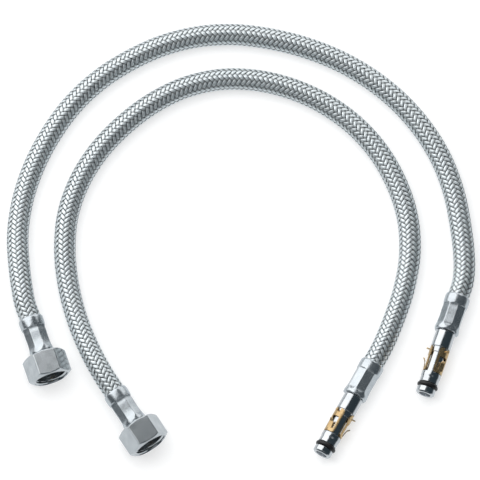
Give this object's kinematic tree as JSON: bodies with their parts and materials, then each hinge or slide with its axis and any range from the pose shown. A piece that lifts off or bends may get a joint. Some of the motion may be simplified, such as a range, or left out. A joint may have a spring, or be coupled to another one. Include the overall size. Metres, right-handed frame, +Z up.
{
  "type": "braided supply line",
  "caption": "Pair of braided flexible tap supply lines, each with a swivelling union nut at one end and a push-in plug with a retaining clip and an O-ring at the other.",
  "frame": {"origin": "on the surface that the lines lie on, at the middle of the footprint of the four end fittings", "axes": "+Z up from the surface, +X from the union nuts towards the push-in plugs, +Y from the open side of the arcs towards their closed side"},
  "size_m": [0.2292, 0.2229, 0.019],
  "materials": {
    "nut_chrome": "satin chrome on brass, brushed flats",
    "tail_brass": "turned brass",
    "washer_rubber": "matt",
    "ferrule_steel": "bright pressed steel with drawn lines on the crimped flats",
    "liner_rubber": "matt",
    "braid_steel": "woven bright wire",
    "stem_chrome": "polished",
    "clip_brass": "bright sheet brass",
    "ring_rubber": "semi-gloss, greased"
  },
  "bodies": {
    "outer_line": {"outer_braid": "braid_steel", "outer_liner": "liner_rubber", "outer_nut_ferrule": "ferrule_steel", "outer_nut_tail": "tail_brass", "outer_plug_ferrule": "ferrule_steel", "outer_plug_stem": "stem_chrome", "outer_o_ring": "ring_rubber"},
    "outer_washer": {"outer_sealing_washer": "washer_rubber"},
    "outer_nut": {"outer_union_nut": "nut_chrome"},
    "outer_clip": {"outer_retaining_clip": "clip_brass"},
    "inner_line": {"inner_braid": "braid_steel", "inner_liner": "liner_rubber", "inner_nut_ferrule": "ferrule_steel", "inner_nut_tail": "tail_brass", "inner_plug_ferrule": "ferrule_steel", "inner_plug_stem": "stem_chrome", "inner_o_ring": "ring_rubber"},
    "inner_washer": {"inner_sealing_washer": "washer_rubber"},
    "inner_nut": {"inner_union_nut": "nut_chrome"},
    "inner_clip": {"inner_retaining_clip": "clip_brass"}
  },
  "joints": [
    {"name": "outer_nut_play", "type": "slide", "parent": "outer_line", "child": "outer_washer", "axis": [0.3198, -0.9475, 0], "range_m": [0, 0.0012]},
    {"name": "outer_nut_spin", "type": "hinge", "parent": "outer_washer", "child": "outer_nut", "pos_m": [-0.09671, 0.00426, 0.0095], "axis": [0.3198, -0.9475, 0], "continuous": true},
    {"name": "outer_clip_turn", "type": "hinge", "parent": "outer_line", "child": "outer_clip", "pos_m": [0.09359, 0.00719, 0.0062], "axis": [-0.3162, -0.9487, 0], "continuous": true},
    {"name": "inner_nut_play", "type": "slide", "parent": "inner_line", "child": "inner_washer", "axis": [0.5401, -0.8416, 0], "range_m": [0, 0.0012]},
    {"name": "inner_nut_spin", "type": "hinge", "parent": "inner_washer", "child": "inner_nut", "pos_m": [-0.04985, -0.03059, 0.0095], "axis": [0.5401, -0.8416, 0], "continuous": true},
    {"name": "inner_clip_turn", "type": "hinge", "parent": "inner_line", "child": "inner_clip", "pos_m": [0.04604, -0.02455, 0.0062], "axis": [-0.4817, -0.8764, 0], "continuous": true},
    {"name": "inner_line_lift", "type": "slide", "parent": "outer_line", "child": "inner_line", "axis": [0, 0, 1], "range_m": [0, 0.12]}
  ]
}
